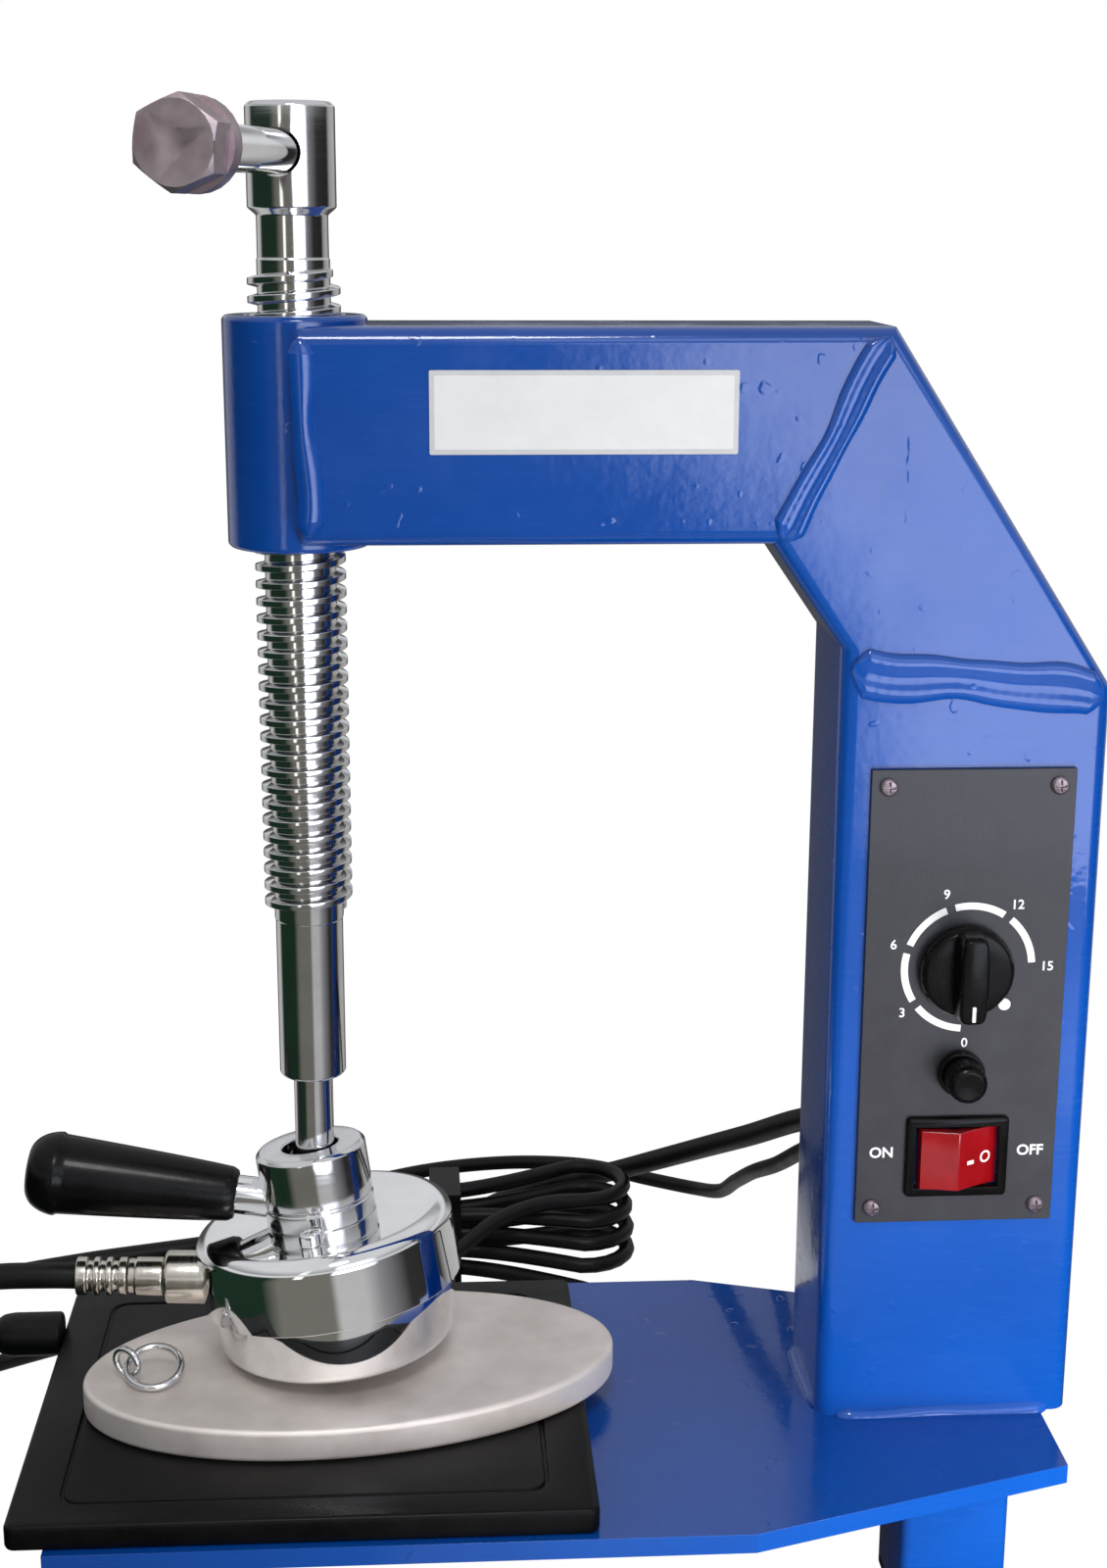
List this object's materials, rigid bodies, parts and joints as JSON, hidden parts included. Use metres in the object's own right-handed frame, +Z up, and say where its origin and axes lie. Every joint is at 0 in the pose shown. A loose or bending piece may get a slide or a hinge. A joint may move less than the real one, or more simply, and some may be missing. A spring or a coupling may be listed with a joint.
{
  "type": "tire vulcanizer",
  "caption": "Bench vulcanizing press: a screw in a C-frame presses a round heater onto a flat heated plate, with a timer, fuse and switch on the column.",
  "frame": {"origin": "middle of the footprint on the bench, cords left out", "axes": "+X from the screw towards the column, +Y away from the control panel's side, +Z up along the screw"},
  "size_m": [0.4068, 0.3584, 0.4365],
  "materials": {
    "blue_paint": "gloss",
    "bright_steel": "turned, bright",
    "dark_steel": "dark, worn",
    "chrome": "polished",
    "nickel": "warm nickel plate",
    "black_coating": "satin coating",
    "cast_aluminium": "matte",
    "bronze": "turned",
    "panel_grey": "matte",
    "black_plastic": "satin",
    "red_plastic": "gloss",
    "black_rubber": "satin",
    "mica": "matte",
    "clear_glass": "clear"
  },
  "bodies": {
    "frame": {"column_tube": "blue_paint", "corner_tube": "blue_paint", "arm_tube": "blue_paint", "screw_boss": "blue_paint", "base_plate": "blue_paint", "leg_front_left": "blue_paint", "foot_cap_front_left": "black_rubber", "leg_front_right": "blue_paint", "foot_cap_front_right": "black_rubber", "leg_back_left": "blue_paint", "foot_cap_back_left": "black_rubber", "leg_back_right": "blue_paint", "foot_cap_back_right": "black_rubber", "control_panel": "panel_grey", "panel_screw_1": "dark_steel", "panel_screw_2": "dark_steel", "panel_screw_3": "dark_steel", "panel_screw_4": "dark_steel", "timer_body": "bright_steel", "fuse_holder": "black_plastic", "switch_housing": "black_plastic", "lower_heater_plate": "black_coating", "lower_heating_element": "mica", "heater_bolt_1": "bright_steel", "heater_bolt_2": "bright_steel", "heater_bolt_3": "bright_steel", "heater_bolt_4": "bright_steel", "lower_cable_boot": "black_rubber", "cable_grommet": "black_rubber", "power_cord_relief": "black_rubber", "upper_heater_cable": "black_rubber", "lower_heater_cable": "black_rubber", "power_cord": "black_rubber", "power_cord_hank": "black_rubber", "power_plug": "black_rubber", "cord_tie": "black_plastic"},
    "thrust": {"thrust_washer": "bronze"},
    "spindle": {"spindle_screw": "bright_steel"},
    "turning_bar": {"sliding_bar": "bright_steel", "hexagon_cap": "dark_steel", "bar_stop_pin": "bright_steel"},
    "seat": {"ball_seat": "bright_steel"},
    "upper_heater": {"heater_upper_cover": "chrome", "heater_lower_block": "chrome", "upper_heating_element": "mica", "cover_screw_1": "chrome", "cover_screw_2": "chrome", "swivel_block": "bright_steel", "handle_rod": "chrome", "handle_grip": "black_plastic", "heater_socket": "nickel", "plug_shell": "nickel", "plug_boot": "nickel"},
    "knob": {"timer_knob": "black_plastic"},
    "rocker": {"switch_rocker": "red_plastic"},
    "fuse": {"fuse_cap": "black_plastic", "glass_fuse": "clear_glass"},
    "oval_plate": {"pressing_plate": "cast_aluminium", "plate_eye": "bright_steel", "pull_ring": "bright_steel"}
  },
  "joints": [
    {"name": "spindle_lift", "type": "slide", "parent": "frame", "child": "thrust", "axis": [0, 0, 1], "range_m": [0, 0.1201], "deforming": ["upper_heater_cable"]},
    {"name": "spindle_turn", "type": "hinge", "parent": "thrust", "child": "spindle", "pos_m": [-0.06318, 0.009, 0.3], "axis": [0, 0, 1], "range_deg": [0, 8640]},
    {"name": "bar_slide", "type": "slide", "parent": "spindle", "child": "turning_bar", "axis": [0.2656, 0.9641, 0], "range_m": [0, 0.055]},
    {"name": "heater_swivel", "type": "hinge", "parent": "thrust", "child": "seat", "pos_m": [-0.06318, 0.009, 0.122], "axis": [0, 0, 1], "range_deg": [-20, 20]},
    {"name": "heater_tilt", "type": "hinge", "parent": "seat", "child": "upper_heater", "pos_m": [-0.06318, 0.009, 0.11793], "axis": [0.477, 0.8789, 0], "range_deg": [0, 7]},
    {"name": "timer_set", "type": "hinge", "parent": "frame", "child": "knob", "pos_m": [0.13012, -0.0165, 0.1918], "axis": [0, 1, 0], "range_deg": [-50, 270]},
    {"name": "switch_rock", "type": "hinge", "parent": "frame", "child": "rocker", "pos_m": [0.13012, -0.0145, 0.1328], "axis": [0, 0, -1], "range_deg": [0, 18]},
    {"name": "fuse_pull", "type": "slide", "parent": "frame", "child": "fuse", "axis": [0, -1, 0], "range_m": [0, 0.034]},
    {"name": "plate_slide", "type": "slide", "parent": "frame", "child": "oval_plate", "axis": [0, -1, 0], "range_m": [0, 0.09]}
  ],
  "couplings": [
    {"joint": "spindle_lift", "follows": "spindle_turn", "m_per_rad": 0.00079577}
  ]
}
